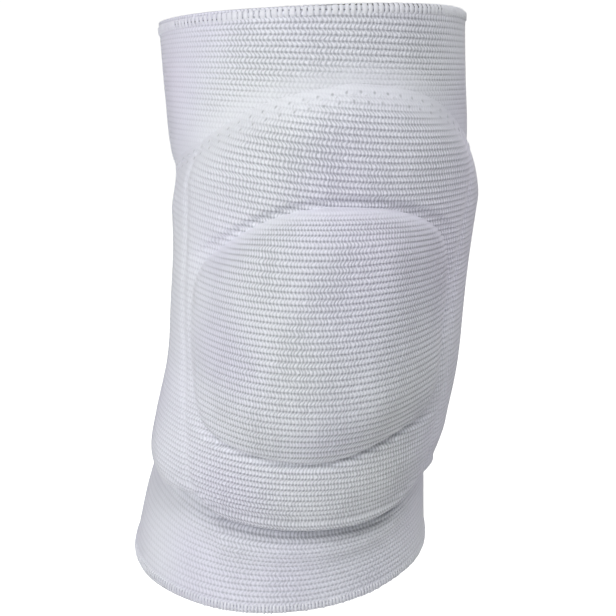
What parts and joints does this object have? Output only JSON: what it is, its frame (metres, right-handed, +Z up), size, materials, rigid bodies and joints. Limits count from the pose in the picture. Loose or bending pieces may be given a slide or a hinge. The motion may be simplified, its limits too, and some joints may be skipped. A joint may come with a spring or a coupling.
{
  "type": "volleyball knee pad",
  "caption": "Slip-on knee pad: an open ribbed knit tube bent as if worn, with an arched foam shield round the front and a raised oval cup over the kneecap.",
  "frame": {"origin": "on the leg's axis, level with the middle of the knee cup", "axes": "+Z up the leg towards the thigh, -Y out of the kneecap, +X to the right of someone who faces the kneecap"},
  "size_m": [0.1301, 0.1364, 0.2248],
  "materials": {
    "sleeve_knit": "matt white elastic rib knit",
    "pad_knit": "matt white rib knit over foam",
    "hem_yarn": "matt white overlock stitching"
  },
  "bodies": {
    "root": {"sleeve": "sleeve_knit", "top_hem": "hem_yarn", "bottom_hem": "hem_yarn", "shield_pad": "pad_knit", "knee_cup": "pad_knit"}
  },
  "joints": []
}
